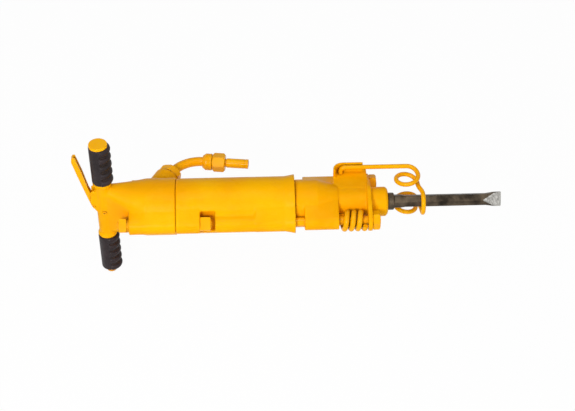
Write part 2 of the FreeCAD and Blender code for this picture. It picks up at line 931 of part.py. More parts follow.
def backhead_bolts():
    shapes = []
    start = x_rear_lug - tie_washer_thickness - rear_nut_length - tie_bolt_head_clear
    end = x_pocket + pocket_nut_length + tie_bolt_head_clear
    for side in both_sides:
        bolt = x_rod(tie_bolt_radius, start, end, side * rod_offset)
        shapes.append(bolt.makeChamfer(joint_chamfer, [bolt.Edges[0], bolt.Edges[2]]))
    return grouped(shapes)


def square_nuts(x_start, length):
    shapes = []
    for side in both_sides:
        start = Vector(x_start, side * rod_offset, 0)
        shapes.append(
            nut(tie_nut_flats, 4, start, x_axis * length, tie_bolt_radius, 0, tie_nut_round)
        )
    return grouped(shapes)


def backhead_nuts():
    return square_nuts(x_rear_lug - tie_washer_thickness - rear_nut_length, rear_nut_length)


def pocket_nuts():
    return square_nuts(x_pocket, pocket_nut_length)


def backhead_washers():
    shapes = []
    for side in both_sides:
        start = x_rear_lug - tie_washer_thickness
        ring = x_rod(tie_washer_radius, start, x_rear_lug, side * rod_offset)
        hole = x_rod(tie_bolt_radius, start - overrun, x_rear_lug + overrun, side * rod_offset)
        shapes.append(ring.cut(hole))
    return grouped(shapes)


def front_rods():
    shapes = []
    start = x_front_joint - front_rod_depth
    end = x_flange_front + front_nut_length + front_rod_proud
    for side in both_sides:
        bar = x_rod(front_rod_radius, start, end, side * rod_offset)
        shapes.append(bar.makeChamfer(joint_chamfer, [bar.Edges[0]]))
    return grouped(shapes)


def front_nuts():
    shapes = []
    for side in both_sides:
        start = Vector(x_flange_front, side * rod_offset, 0)
        along = x_axis * front_nut_length
        shapes.append(nut(front_nut_flats, 6, start, along, front_rod_radius, hex_turn, nut_chamfer))
    return grouped(shapes)


def rod_spring_path(side):
    """The helix between the block and the flange, as a knot each quarter turn."""
    start = x_block_front + spring_wire + spring_end_gap
    run = waist_length - 2 * (spring_wire + spring_end_gap)
    quarters = int(4 * spring_turns)
    slope = run / (2 * math.pi * spring_mean_radius * spring_turns)
    knots = []
    for index in range(quarters + 1):
        angle = math.pi / 2 * index
        out = Vector(0, math.cos(angle), -math.sin(angle))
        around = Vector(0, -math.sin(angle), -math.cos(angle))
        middle = Vector(start + run * index / quarters, side * rod_offset, 0)
        direction = (around + x_axis * slope).normalize()
        knots.append((middle + out * spring_mean_radius, direction))
    return knots


def rod_spring(side):
    knots = rod_spring_path(side)
    print("rod spring least gap to itself", round(least_gap(knots, spring_wire), 2))
    return round_wire(knots, spring_wire)


# Front head


def ear_outline(z, inset, length):
    """The ear seen along its pivot: square in front, rounded at the back on the far side."""
    back = x_block_front - ear_back + inset
    front = back - inset + length
    far = ear_far - inset
    corner = ear_corner - inset
    turn = Vector(back + corner, far - corner, z)
    slant = corner / math.sqrt(2)
    start = Vector(back, far - corner, z)
    crown = Vector(turn.x - slant, turn.y + slant, z)
    end = Vector(back + corner, far, z)
    edges = [
        Part.Arc(start, crown, end).toShape(),
        Part.makeLine(end, Vector(front, far, z)),
        Part.makeLine(Vector(front, far, z), Vector(front, ear_near, z)),
        Part.makeLine(Vector(front, ear_near, z), Vector(back, ear_near, z)),
        Part.makeLine(Vector(back, ear_near, z), start),
    ]
    return Part.Face(Part.Wire(edges))


def ear():
    """One retainer ear: a plate with the pivot hole and a rim round the wire's bend."""
    to_flange = waist_length + ear_back + weld_depth
    plate = ear_outline(ear_floor, 0, to_flange).extrude(z_axis * ear_thickness)
    top = ear_floor + ear_thickness
    rim = ear_outline(top, 0, ear_rim_length).extrude(z_axis * ear_rim_height)
    room = ear_outline(top, ear_rim_wall, 2 * ear_rim_length).extrude(z_axis * ear_rim_height)
    wide_room = room.copy()
    wide_room.translate(y_axis * -ear_rim_wall)
    rim = rim.cut([room, wide_room])
    near_cut = box_between(
        Vector(x_block_front - 2 * ear_back, -ear_far, top),
        Vector(x_flange_front, leg_offset - elbow_radius - wire_radius, top + ear_rim_height + overrun),
    )
    return [plate, rim.cut(near_cut)]


def front_head():
    """The front casting: block, waist, the flange that the springs press on, ears and nose."""
    taper_start = x_block_front - block_taper_length
    hub = block_radius - block_bulge
    front_hub = block_front_radius - hub_inset
    lug = block_lug_radius
    pieces = [
        x_rod(block_radius, x_front_joint, taper_start),
        x_cone(block_radius, block_front_radius, taper_start, x_block_front),
        hull_block(x_front_joint + front_lug_setback, taper_start, hub, lug),
        hull_taper(taper_start, x_block_front, hub, front_hub, lug, lug),
        x_rod(waist_radius, x_block_front - overrun, x_flange_back + overrun),
        hull_block(x_flange_back, x_flange_front, flange_hub_radius, flange_lug_radius),
        x_rod(nose_radius, x_flange_back, x_nose - nose_chamfer),
        x_cone(nose_radius, nose_radius - nose_chamfer, x_nose - nose_chamfer, x_nose),
    ]
    for piece in ear():
        pieces += [piece, mirrored_z(piece)]
    casting = fuse(pieces)
    guide_end = x_front_joint + guide_length
    chamber_end = guide_end + anvil_chamber_length
    cuts = [
        x_rod(guide_radius, x_front_joint - overrun, guide_end),
        x_rod(anvil_chamber_radius, guide_end - overrun, chamber_end),
        x_rod(bushing_radius, chamber_end - overrun, x_nose + overrun),
    ]
    for side in both_sides:
        hole = front_rod_radius + rod_clearance
        cuts.append(x_rod(hole, x_front_joint, x_flange_front + overrun, side * rod_offset))
    pin_hole = rod(
        wire_radius + running_fit,
        Vector(x_retainer, leg_offset, -leg_height),
        Vector(x_retainer, leg_offset, leg_height),
    )
    return casting.cut(cuts + [pin_hole])


def nose_bushing():
    """The wear bushing that guides the chisel's hexagon shank."""
    start = x_front_joint + guide_length + anvil_chamber_length
    sleeve = x_rod(bushing_radius, start, x_nose)
    hexagon = prism(
        6, shank_flats + 2 * shank_clearance,
        Vector(start - overrun, 0, 0), x_axis * (x_nose - start + 2 * overrun),
    )
    return sleeve.cut(hexagon)


# Retainer


def retainer_half_path():
    """Knots from the middle of the loop, up through one coil and back to the pivot end."""
    coil_x = coil_from_nose
    coil_y = leg_offset - coil_radius
    reach_x = coil_x + coil_radius
    drop = (leg_height - loop_radius) / coil_quarters
    slope = drop / (math.pi / 2 * coil_radius)
    loop_x = reach_x + loop_lead
    knots = [
        (Vector(loop_x, -loop_setback - loop_radius, 0), z_axis),
        (Vector(loop_x, -loop_setback, loop_radius), y_axis),
        (Vector(reach_x, coil_y, loop_radius), y_axis),
    ]
    for index in range(1, coil_quarters + 1):
        angle = math.pi / 2 * index
        out = Vector(math.cos(angle), math.sin(angle), 0)
        around = Vector(-math.sin(angle), math.cos(angle), 0)
        level = loop_radius + drop * index
        rise = slope if index < coil_quarters else 0
        point = Vector(coil_x, coil_y, level) + out * coil_radius
        knots.append((point, (around + z_axis * rise).normalize()))
    knots.append((Vector(x_retainer + elbow_radius, leg_offset, leg_height), x_axis * -1))
    knots.append((Vector(x_retainer, leg_offset, leg_height - elbow_radius), z_axis * -1))
    knots.append((Vector(x_retainer, leg_offset, pivot_end_height), z_axis * -1))
    return knots


def retainer_path():
    """The whole wire, from one pivot end to the other."""
    upper = retainer_half_path()
    lower = []
    for point, direction in reversed(upper[1:]):
        lower.append((
            Vector(point.x, point.y, -point.z),
            Vector(-direction.x, -direction.y, direction.z),
        ))
    return lower + upper


def retainer_spring():
    knots = retainer_path()
    print("retainer least gap to itself", round(least_gap(knots, wire_radius), 2))
    return round_wire(knots, wire_radius)


# Chisel


def hexagon_outline(x, flats):
    reach = flats / math.sqrt(3)
    corners = []
    for index in range(7):
        angle = math.pi / 3 * index + math.pi / 6
        corners.append(Vector(x, reach * math.cos(angle), reach * math.sin(angle)))
    return Part.makePolygon(corners)


def chisel_edge_outline(x, half_width, half_thickness):
    """Six points, so that the hexagon stock draws down to a flat edge."""
    slanted = half_width * flare_share
    corners = [
        Vector(x, half_thickness, slanted), Vector(x, 0, half_width), Vector(x, -half_thickness, slanted),
        Vector(x, -half_thickness, -slanted), Vector(x, 0, -half_width), Vector(x, half_thickness, -slanted),
    ]
    return Part.makePolygon(corners + corners[:1])


def chisel():
    """Hexagon shank, round collar, hexagon stock and a flat ground edge."""
    x_collar = x_nose + seat_gap
    x_stock = x_collar + collar_length
    x_neck = x_stock + neck_length
    x_flare = x_neck + stock_length
    shank_start = Vector(x_collar - shank_length, 0, 0)
    shank = prism(6, shank_flats, shank_start, x_axis * shank_length)
    collar = x_rod(collar_radius, x_collar, x_stock)
    collar = collar.makeFillet(collar_round, [collar.Edges[0], collar.Edges[2]])
    neck = Part.makeLoft(
        [hexagon_outline(x_stock - collar_round, neck_flats), hexagon_outline(x_neck, stock_flats)],
        True, True,
    )
    stock = Part.Face(hexagon_outline(x_neck, stock_flats)).extrude(x_axis * stock_length)
    point = Part.makeLoft(
        [
            hexagon_outline(x_flare, stock_flats),
            chisel_edge_outline(x_flare + point_length, edge_width * half, edge_thickness * half),
        ],
        True, True,
    )
    return fuse([shank, collar, neck, stock, point])


nodes = {
    "backhead": backhead,
    "upper_grip": lambda: grip(top_end),
    "lower_grip": lambda: grip(bottom_end),
    "upper_cap_bolt": upper_cap_bolt,
    "lower_washer": lower_washer,
    "lower_end_bolt": lower_end_bolt,
    "oil_plug": oil_plug,
    "throttle_lever": throttle_lever,
    "lever_pin": lever_pin,
    "throttle_valve": throttle_valve,
    "throttle_spring": throttle_spring,
    "inlet_nut": inlet_nut,
    "inlet_seal": inlet_seal,
    "inlet_pipe": inlet_pipe,
    "coupling_body": coupling_body,
    "coupling_nut": coupling_nut,
    "hose_tail": hose_tail,
    "cylinder": cylinder,
    "valve_chest": valve_chest,
    "valve_plate": valve_plate,
    "piston": piston,
    "anvil": anvil,
    "anvil_guide": anvil_guide,
    "backhead_bolts": backhead_bolts,
    "backhead_nuts": backhead_nuts,
    "backhead_washers": backhead_washers,
    "pocket_nuts": pocket_nuts,
    "front_rods": front_rods,
    "front_nuts": front_nuts,
    "rod_spring_near": lambda: rod_spring(near_side),
    "rod_spring_far": lambda: rod_spring(far_side),
    "front_head": front_head,
    "nose_bushing": nose_bushing,
    "retainer_spring": retainer_spring,
    "chisel": chisel,
}

os.makedirs("parts", exist_ok=True)
for name, make in nodes.items():
    shape = make()
    print(name, len(shape.Solids), "solids,", round(shape.Volume), "mm3, valid", shape.isValid())
    shape.exportStep("parts/" + name + ".step")
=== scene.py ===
# %% [markdown]
# # A pneumatic breaker, dressed as in its picture
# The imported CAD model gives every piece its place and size. This lesson softens the castings,
# adds the detail that CAD leaves out, paints each finish with procedural nodes, and lights it all.

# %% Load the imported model
import json
import math

import bpy
from mathutils import Matrix, Vector


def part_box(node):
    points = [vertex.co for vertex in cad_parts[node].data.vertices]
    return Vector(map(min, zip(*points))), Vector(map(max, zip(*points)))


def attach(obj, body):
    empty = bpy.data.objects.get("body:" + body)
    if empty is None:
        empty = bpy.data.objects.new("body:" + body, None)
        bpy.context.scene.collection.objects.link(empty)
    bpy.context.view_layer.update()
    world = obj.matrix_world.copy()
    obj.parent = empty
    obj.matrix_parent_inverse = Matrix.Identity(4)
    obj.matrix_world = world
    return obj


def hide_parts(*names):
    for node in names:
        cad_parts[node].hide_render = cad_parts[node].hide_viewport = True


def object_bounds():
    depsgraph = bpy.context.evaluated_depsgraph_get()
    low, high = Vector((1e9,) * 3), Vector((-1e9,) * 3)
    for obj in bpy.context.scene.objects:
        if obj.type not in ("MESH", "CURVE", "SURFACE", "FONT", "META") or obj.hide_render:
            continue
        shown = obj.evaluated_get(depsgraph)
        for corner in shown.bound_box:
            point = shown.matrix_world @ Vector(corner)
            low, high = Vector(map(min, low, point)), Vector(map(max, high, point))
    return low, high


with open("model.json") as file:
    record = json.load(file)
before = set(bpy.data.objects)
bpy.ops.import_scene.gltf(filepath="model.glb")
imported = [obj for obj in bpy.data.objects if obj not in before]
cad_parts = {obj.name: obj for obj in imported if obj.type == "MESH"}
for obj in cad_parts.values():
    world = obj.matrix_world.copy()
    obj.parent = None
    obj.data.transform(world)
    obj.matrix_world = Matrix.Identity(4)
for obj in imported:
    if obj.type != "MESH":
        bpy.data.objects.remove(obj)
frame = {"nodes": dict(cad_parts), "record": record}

cad_box = [list(corner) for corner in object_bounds()]
scene = bpy.context.scene
print("loaded", len(frame["nodes"]), "nodes, box", cad_box)

# %% [markdown]
# ## Working by hand
# Operators act on whatever is selected, and the loaded nodes are selected at first. So each step
# starts by clearing the selection and picking one object, as a click would.


# %% Pick one object
def pick(piece):
    if bpy.context.object and bpy.context.object.mode != "OBJECT":
        bpy.ops.object.mode_set(mode="OBJECT")
    bpy.ops.object.select_all(action="DESELECT")
    piece.select_set(True)
    bpy.context.view_layer.objects.active = piece


def apply_modifier(piece, kind, **settings):
    pick(piece)
    modifier = piece.modifiers.new(kind.lower(), kind)
    for setting, value in settings.items():
        setattr(modifier, setting, value)
    bpy.ops.object.modifier_apply(modifier=modifier.name)


def round_edges(piece, width, segments, sharper_than):
    """Bevel only the edges that are sharper than an angle in degrees."""
    apply_modifier(piece, "BEVEL", width=width, segments=segments, limit_method="ANGLE",
                   angle_limit=math.radians(sharper_than))


def skin_over(piece, voxel, passes):
    """Rebuild a mesh from small cubes, so that it is one skin, and smooth their steps away."""
    apply_modifier(piece, "REMESH", mode="VOXEL", voxel_size=voxel)
    apply_modifier(piece, "SMOOTH", factor=0.5, iterations=passes)


def settle(piece, name, body, slot, material, *nodes):
    """Name a finished piece, put its place into its mesh and join it to its body."""
    pick(piece)
    bpy.ops.object.transform_apply(location=True, rotation=True, scale=True)
    piece.name = name
    piece.data.name = name
    piece.data.materials.clear()
    piece.data.materials.append(material)
    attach(piece, body)
    if nodes:
        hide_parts(*nodes)
    triangles = sum(len(face.vertices) - 2 for face in piece.data.polygons)
    print(name, triangles, "triangles")


# %% [markdown]
# ## The camera
# The picture looks down on the tool at about 42 degrees from almost square on. A long lens from
# 3.2 m keeps the handle bar and the chisel in the proportions of the picture.

# %% Camera
azimuth = math.radians(-2)
elevation = math.radians(42)
eye_distance = 3.2
middle_of_tool = -0.230
drop_in_picture = 0.0044

toward = Vector((math.sin(azimuth) * math.cos(elevation), -math.cos(azimuth) * math.cos(elevation),
                 math.sin(elevation)))
right = Vector((0, 0, 1)).cross(toward).normalized()
up = toward.cross(right)
target = Vector((middle_of_tool, 0, 0)) - up * drop_in_picture
eye = target + toward * eye_distance
lens_data = bpy.data.cameras.new("camera")
lens_data.lens = 87
lens_data.sensor_width = 36
camera = bpy.data.objects.new("camera", lens_data)
scene.collection.objects.link(camera)
turn = Matrix((right, up, toward)).transposed().to_4x4()
camera.matrix_world = Matrix.Translation(eye) @ turn
scene.camera = camera
print("camera at", [round(v, 3) for v in eye])

# %% [markdown]
# ## A white room
# The floor is a pale plane under the handle. For camera and glossy rays most of its light is its
# own, so the background is white, and the rest is lit, so the soft shadow of the tool stays.


# %% Light of its own for seen rays only
def seen_rays(tree):
    """1 for camera, glossy and transmission rays, and 0 for the rays that carry light."""
    path = tree.nodes.new("ShaderNodeLightPath")
    total = path.outputs["Is Camera Ray"]
    for output in ("Is Glossy Ray", "Is Transmission Ray"):
        larger = tree.nodes.new("ShaderNodeMath")
        larger.operation = "MAXIMUM"
        tree.links.new(total, larger.inputs[0])
        tree.links.new(path.outputs[output], larger.inputs[1])
        total = larger.outputs[0]
    return total


def white(tree, kind, strength):
    """A plain white Background or Emission."""
    light = tree.nodes.new(kind)
    light.inputs["Color"].default_value = (1, 1, 1, 1)
    light.inputs["Strength"].default_value = strength
    return light.outputs[0]


def switch(tree, factor, unseen, seen, output_kind):
    """Use one shader for the rays that carry light and the other for the rays that see."""
    mix = tree.nodes.new("ShaderNodeMixShader")
    tree.links.new(factor, mix.inputs[0])
    tree.links.new(unseen, mix.inputs[1])
    tree.links.new(seen, mix.inputs[2])
    tree.links.new(mix.outputs[0], tree.nodes.new(output_kind).inputs[0])


# %% Floor
floor_size = 14
floor_grey = (0.86, 0.86, 0.86, 1)
own_light = 0.97

bpy.ops.object.select_all(action="DESELECT")
bpy.ops.mesh.primitive_plane_add(size=floor_size, location=(middle_of_tool, 0, cad_box[0][2]))
floor = bpy.context.object
floor.name = "floor"
floor_paint = bpy.data.materials.new("pale_floor")
floor_paint.use_nodes = True
tree = floor_paint.node_tree
tree.nodes.clear()
lit = tree.nodes.new("ShaderNodeBsdfDiffuse")
lit.inputs["Color"].default_value = floor_grey
share = tree.nodes.new("ShaderNodeMath")
share.operation = "MULTIPLY"
share.inputs[1].default_value = own_light
tree.links.new(seen_rays(tree), share.inputs[0])
glow = white(tree, "ShaderNodeEmission", 1.0)
switch(tree, share.outputs[0], lit.outputs[0], glow, "ShaderNodeOutputMaterial")
floor.data.materials.append(floor_paint)
print("floor at", round(cad_box[0][2], 4))

# %% World
world = bpy.data.worlds.new("white_room")
scene.world = world
world.use_nodes = True
tree = world.node_tree
tree.nodes.clear()
soft = white(tree, "ShaderNodeBackground", 0.28)
bright = white(tree, "ShaderNodeBackground", 1.0)
switch(tree, seen_rays(tree), soft, bright, "ShaderNodeOutputWorld")
scene.view_settings.view_transform = "Standard"
print("world", world.name)


# %% Soft boxes
def soft_box(name, place, look_at, size, watts):
    data = bpy.data.lights.new(name, "AREA")
    data.shape = "SQUARE"
    data.size = size
    data.energy = watts
    lamp = bpy.data.objects.new(name, data)
    scene.collection.objects.link(lamp)
    lamp.location = place
    way = Vector(look_at) - Vector(place)
    lamp.rotation_euler = way.to_track_quat("-Z", "Y").to_euler()
    print(name, watts, "W")


soft_box("key_light", place=(-1.1, -2.0, 1.3), look_at=(-0.25, 0, 0), size=0.7, watts=35)
soft_box("fill_light", place=(1.4, -1.7, 1.0), look_at=(-0.1, 0, 0), size=1.6, watts=11)
soft_box("top_light", place=(-0.5, -0.5, 2.3), look_at=(-0.35, 0, 0), size=1.2, watts=13)


# %% [markdown]
# ## Node helpers
# Each helper adds one or two nodes to a material and returns the socket that carries the result.
# Noise always reads the object's own coordinates, so that a pattern stays with its piece.


# %% Noise, ramps and mixes
def open_material(name):
    material = bpy.data.materials.new(name)
    material.use_nodes = True
    tree = material.node_tree
    return material, tree, tree.nodes["Principled BSDF"]


def noise(tree, scale, detail=3.0, stretch=None):
    place = tree.nodes.new("ShaderNodeTexCoord")
    texture = tree.nodes.new("ShaderNodeTexNoise")
    texture.inputs["Scale"].default_value = scale
    texture.inputs["Detail"].default_value = detail
    source = place.outputs["Object"]
    if stretch:
        mapping = tree.nodes.new("ShaderNodeMapping")
        mapping.inputs["Scale"].default_value = stretch
        tree.links.new(source, mapping.inputs["Vector"])
        source = mapping.outputs["Vector"]
    tree.links.new(source, texture.inputs["Vector"])
    return texture.outputs["Fac"]


def ramp(tree, source, low, high, low_color, high_color):
    """Colours between two, where the source goes from low to high."""
    band = tree.nodes.new("ShaderNodeValToRGB")
    for element, position, color in zip(band.color_ramp.elements, (low, high),
                                        (low_color, high_color)):
        element.position = position
        element.color = color
    tree.links.new(source, band.inputs["Fac"])
    return band.outputs["Color"]


def span(tree, source, to_low, to_high, from_low=0.3, from_high=0.7):
    """The source's range turned into another, and kept within it."""
    fit = tree.nodes.new("ShaderNodeMapRange")
    fit.inputs["From Min"].default_value = from_low
    fit.inputs["From Max"].default_value = from_high
    fit.inputs["To Min"].default_value = to_low
    fit.inputs["To Max"].default_value = to_high
    tree.links.new(source, fit.inputs["Value"])
    return fit.outputs["Result"]


def blend(tree, factor, first, second):
    """One colour over another; the second may be a plain colour."""
    mixer = tree.nodes.new("ShaderNodeMix")
    mixer.data_type = "RGBA"
    tree.links.new(factor, mixer.inputs["Factor"])
    tree.links.new(first, mixer.inputs[6])
    if isinstance(second, tuple):
        mixer.inputs[7].default_value = second
    else:
        tree.links.new(second, mixer.inputs[7])
    return mixer.outputs[2]


def product(tree, first, second):
    """The first times a plain number or another socket."""
    times = tree.nodes.new("ShaderNodeMath")
    times.operation = "MULTIPLY"
    tree.links.new(first, times.inputs[0])
    if isinstance(second, float):
        times.inputs[1].default_value = second
    else:
        tree.links.new(second, times.inputs[1])
    return times.outputs[0]


# %% Edges, crevice shade and bumps
def rounded_normal(tree, radius):
    """The normal as it would be with edges of this radius."""
    rounded = tree.nodes.new("ShaderNodeBevel")
    rounded.samples = 4
    rounded.inputs["Radius"].default_value = radius
    return rounded.outputs["Normal"]


def on_edge(tree, normal):
    """How far a rounded normal leaves the flat one: 0 on faces, 1 on edges."""
    flat = tree.nodes.new("ShaderNodeNewGeometry")
    dot = tree.nodes.new("ShaderNodeVectorMath")
    dot.operation = "DOT_PRODUCT"
    tree.links.new(normal, dot.inputs[0])
    tree.links.new(flat.outputs["Normal"], dot.inputs[1])
    return span(tree, dot.outputs["Value"], 1.0, 0.0, from_low=0.86, from_high=0.99)


def shade_in_crevices(tree, reach):
    """1 deep in a crevice, where painted shade goes, and 0 on open faces."""
    shelter = tree.nodes.new("ShaderNodeAmbientOcclusion")
    shelter.samples = 6
    shelter.inputs["Distance"].default_value = reach
    return span(tree, shelter.outputs["AO"], 1.0, 0.0, from_low=0.14, from_high=0.62)


def bump(tree, height, distance, normal=None):
    lift = tree.nodes.new("ShaderNodeBump")
    lift.inputs["Strength"].default_value = 1.0
    lift.inputs["Distance"].default_value = distance
    tree.links.new(height, lift.inputs["Height"])
    if normal:
        tree.links.new(normal, lift.inputs["Normal"])
    return lift.outputs["Normal"]


# %% [markdown]
# ## Enamel
# All the metal outside is sprayed with one bright yellow enamel, castings, nuts and springs alike.
# The colour swings a little between warmer and paler patches, and the film is thinner and paler on
# sharp edges, where it has also chipped down to the primer. Crevices get a brown painted shade.
# Rough castings show through the film as a fine and a broad bump.

# %% Enamel on castings and on machined pieces
deep_yellow = (0.95, 0.395, 0.0002, 1)
clear_yellow = (1.0, 0.48, 0.0004, 1)
worn_yellow = (0.98, 0.58, 0.05, 1)
grey_primer = (0.21, 0.17, 0.12, 1)
# Brown painted shade for the crevices, and how far it reaches.
brown_shade = (0.20, 0.075, 0.004, 1)
shade_reach = 0.012


def enamel(name, grain, broad, edge_radius, rough, shine):
    """Grain and broad are the heights of the fine and the broad bump, in metres."""
    material, tree, shader = open_material(name)
    tone = ramp(tree, noise(tree, scale=9.0, detail=4.0), 0.36, 0.62, deep_yellow, clear_yellow)
    blotch_noise = noise(tree, scale=70.0, detail=5.0)
    paler = span(tree, blotch_noise, 0.0, 0.08, from_low=0.5, from_high=0.75)
    tone = blend(tree, paler, tone, worn_yellow)
    normal = rounded_normal(tree, edge_radius)
    edge = on_edge(tree, normal)
    rubbed = product(tree, edge, span(tree, noise(tree, scale=55.0), 0.1, 0.6))
    tone = blend(tree, rubbed, tone, worn_yellow)
    flakes = span(tree, noise(tree, scale=130.0, detail=6.0), 0.0, 1.0,
                  from_low=0.63, from_high=0.68)
    tone = blend(tree, product(tree, edge, flakes), tone, grey_primer)
    # Painted shade: crevices found by ambient occlusion are darkened brown, more strongly in some
    # blotches.
    crevice_shade_amount = product(tree, shade_in_crevices(tree, shade_reach), span(tree, blotch_noise, 0.55, 0.95))
    tone = blend(tree, crevice_shade_amount, tone, brown_shade)
    tree.links.new(tone, shader.inputs["Base Color"])
    smears = span(tree, noise(tree, scale=28.0), rough, rough + 0.14)
    tree.links.new(smears, shader.inputs["Roughness"])
    normal = bump(tree, noise(tree, scale=34.0, detail=2.0), broad, normal)
    normal = bump(tree, noise(tree, scale=420.0), grain, normal)
    tree.links.new(normal, shader.inputs["Normal"])
    shader.inputs["IOR"].default_value = 1.25
    shader.inputs["Specular IOR Level"].default_value = shine
    return material


cast_enamel = enamel("cast_enamel", grain=0.00022, broad=0.0014, edge_radius=0.0016,
                     rough=0.26, shine=0.14)
smooth_enamel = enamel("smooth_enamel", grain=0.00006, broad=0.0003, edge_radius=0.0009,
                       rough=0.13, shine=0.30)
print("enamels ready")

# %% [markdown]
# ## Rubber
# The grips are moulded black rubber with a faint purple sheen painted on their ridges' edges and a
# brown reflection of the yellow enamel painted into their valleys. A fine grain keeps the shine
# soft.

# %% Grip rubber
dark_rubber = (0.014, 0.009, 0.010, 1)
worn_rubber = (0.030, 0.019, 0.021, 1)
# Purple sheen painted on the ridges' edges.
purple_edge_sheen = (0.075, 0.062, 0.075, 1)
# Brown reflection of the yellow enamel, painted into the valleys.
valley_painted_reflection = (0.13, 0.065, 0.012, 1)


def grip_rubber_finish():
    material, tree, shader = open_material("grip_rubber")
    tone = ramp(tree, noise(tree, scale=24.0, detail=4.0), 0.35, 0.7, dark_rubber, worn_rubber)
    normal = rounded_normal(tree, 0.0012)
    # Painted sheen: the edges of the rubber are lightened purple.
    tone = blend(tree, product(tree, on_edge(tree, normal), 0.35), tone, purple_edge_sheen)
    # Painted reflection: valleys found by ambient occlusion get a brown tint of the yellow enamel
    # around them.
    tone = blend(tree, product(tree, shade_in_crevices(tree, 0.014), 0.9), tone, valley_painted_reflection)
    tree.links.new(tone, shader.inputs["Base Color"])
    smears = span(tree, noise(tree, scale=90.0), 0.40, 0.56)
    tree.links.new(smears, shader.inputs["Roughness"])
    normal = bump(tree, noise(tree, scale=900.0, detail=2.0), 0.00012, normal)
    tree.links.new(normal, shader.inputs["Normal"])
    shader.inputs["Specular IOR Level"].default_value = 0.22
    return material


rubber = grip_rubber_finish()
print("rubber ready")

# %% [markdown]
# ## Steel
# The chisel is forged and left dark, with scale in soft blotches, and only its two ground facets
# are bright. A point lies on a facet where its distance to the facet's plane is nothing, and a dot
# product on Object coordinates measures that, so the bright part ends just where the grinding did.
# The working parts inside are turned steel, with fine rings of tool marks.

# %% Facet planes
chisel_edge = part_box("chisel")[1][0]
facet_slope = math.radians(17)
facet_turn = math.radians(30)
edge_half = 0.0014
ridge_way = Vector((0, -math.cos(facet_turn), math.sin(facet_turn)))
facets = []
for side in (1, -1):
    normal = Vector((math.sin(facet_slope), 0, 0)) + side * math.cos(facet_slope) * ridge_way
    edge_point = Vector((chisel_edge, 0, 0)) + side * edge_half * ridge_way
    facets.append((normal, normal.dot(edge_point)))
print("facets at", [round(distance, 4) for normal, distance in facets])

# %% Forged steel
dark_scale = (0.022, 0.016, 0.011, 1)
light_scale = (0.125, 0.094, 0.062, 1)
ground_grey = (0.20, 0.195, 0.18, 1)
ground_white = (0.48, 0.47, 0.44, 1)
ragged_by = 0.00025
facet_depth = 0.0006


def on_facet(tree, normal, distance):
    """1 on a ground plane and 0 behind it, with a slightly ragged border."""
    place = tree.nodes.new("ShaderNodeTexCoord")
    dot = tree.nodes.new("ShaderNodeVectorMath")
    dot.operation = "DOT_PRODUCT"
    dot.inputs[1].default_value = normal
    tree.links.new(place.outputs["Object"], dot.inputs[0])
    ragged = span(tree, noise(tree, scale=240.0, detail=4.0), -ragged_by, ragged_by)
    total = tree.nodes.new("ShaderNodeMath")
    tree.links.new(dot.outputs["Value"], total.inputs[0])
    tree.links.new(ragged, total.inputs[1])
    return span(tree, total.outputs[0], 0.0, 1.0,
                from_low=distance - facet_depth, from_high=distance - facet_depth / 2)


def forged_finish(facets):
    material, tree, shader = open_material("forged_steel")
    tone = ramp(tree, noise(tree, scale=38.0, detail=6.0), 0.34, 0.68, dark_scale, light_scale)
    either = tree.nodes.new("ShaderNodeMath")
    either.operation = "MAXIMUM"
    for socket, (normal, distance) in zip(either.inputs, facets):
        tree.links.new(on_facet(tree, normal, distance), socket)
    ground = either.outputs[0]
    lines = noise(tree, scale=190.0, detail=4.0, stretch=(1.4, 1, 1))
    bright = ramp(tree, lines, 0.3, 0.7, ground_grey, ground_white)
    tree.links.new(blend(tree, ground, tone, bright), shader.inputs["Base Color"])
    dull = span(tree, noise(tree, scale=75.0), 0.34, 0.55)
    level = tree.nodes.new("ShaderNodeMix")
    tree.links.new(ground, level.inputs["Factor"])
    tree.links.new(dull, level.inputs[2])
    level.inputs[3].default_value = 0.5
    tree.links.new(level.outputs[0], shader.inputs["Roughness"])
    pits = noise(tree, scale=160.0, detail=5.0)
    normal = bump(tree, pits, 0.0002, rounded_normal(tree, 0.0008))
    tree.links.new(normal, shader.inputs["Normal"])
    shader.inputs["Metallic"].default_value = 0.9
    return material


forged = forged_finish(facets)
print("forged steel ready")

# %% Turned steel and seal fibre
dark_steel = (0.32, 0.32, 0.33, 1)
light_steel = (0.60, 0.60, 0.61, 1)
dark_fibre = (0.10, 0.05, 0.03, 1)
light_fibre = (0.22, 0.13, 0.08, 1)


def turned_finish():
    material, tree, shader = open_material("turned_steel")
    rings = noise(tree, scale=30.0, detail=4.0, stretch=(40, 1, 1))
    tree.links.new(ramp(tree, rings, 0.3, 0.7, dark_steel, light_steel),
                   shader.inputs["Base Color"])
    tree.links.new(span(tree, noise(tree, scale=50.0), 0.22, 0.42), shader.inputs["Roughness"])
    normal = bump(tree, rings, 0.00006, rounded_normal(tree, 0.0006))
    tree.links.new(normal, shader.inputs["Normal"])
    shader.inputs["Metallic"].default_value = 1.0
    return material


def fibre_finish():
    material, tree, shader = open_material("seal_fibre")
    flecks = noise(tree, scale=400.0, detail=4.0)
    tree.links.new(ramp(tree, flecks, 0.3, 0.7, dark_fibre, light_fibre),
                   shader.inputs["Base Color"])
    tree.links.new(span(tree, flecks, 0.7, 0.9), shader.inputs["Roughness"])
    tree.links.new(bump(tree, flecks, 0.0002), shader.inputs["Normal"])
    return material


turned = turned_finish()
fibre = fibre_finish()
print("turned steel and fibre ready")

# %% Put a finish on every CAD node
finish_of_slot = {
    "yellow_paint": smooth_enamel, "grip_rubber": rubber, "seal_fibre": fibre,
    "forged_steel": forged, "machined_steel": turned,
}
for part in frame["record"]["subparts"]:
    node = frame["nodes"][part["node"]]
    for slot in node.material_slots:
        slot.material = finish_of_slot[part["material_slot"]]

# %% [markdown]
# ## Castings
# The backhead, the cylinder and the front head are sand castings: every corner is blended, and no
# edge is as sharp as CAD leaves it. A merged copy of each node is rebuilt from small cubes and then
# smoothed, which rounds all edges by a few millimetres and keeps the size.

# %% Soften the castings
merge_distance = 0.00002


